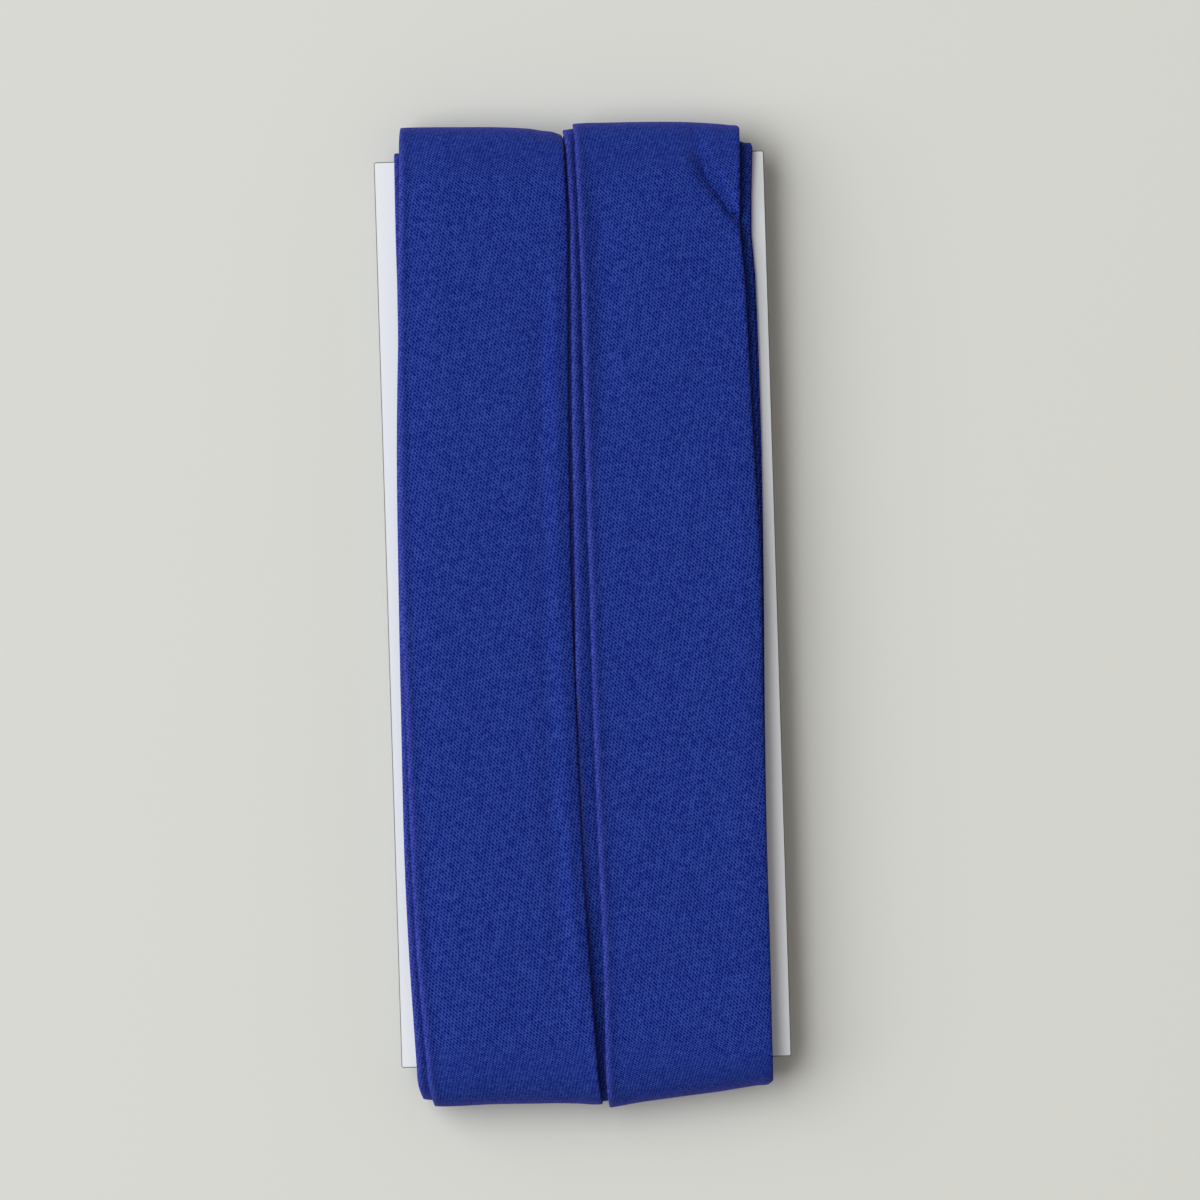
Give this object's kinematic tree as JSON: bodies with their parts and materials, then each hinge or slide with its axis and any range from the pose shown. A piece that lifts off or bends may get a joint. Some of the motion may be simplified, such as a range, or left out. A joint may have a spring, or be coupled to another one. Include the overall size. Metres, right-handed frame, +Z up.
{
  "type": "card of bias tape",
  "caption": "Folded cotton bias tape wound lengthwise in two side-by-side columns round a flat white board, for storing and selling the tape.",
  "frame": {"origin": "under the middle of the whole object, on the surface that it lies on", "axes": "+Z up from the wound back to the front, +Y along the card and the tape, +X across the two columns"},
  "size_m": [0.0458, 0.1158, 0.0073],
  "materials": {
    "board": "white coated board, smooth and slightly satin",
    "tape_cloth": "matte plain-woven cotton cut on the bias, ultramarine blue"
  },
  "bodies": {
    "root": {"card": "board", "bias_tape": "tape_cloth"}
  },
  "joints": []
}
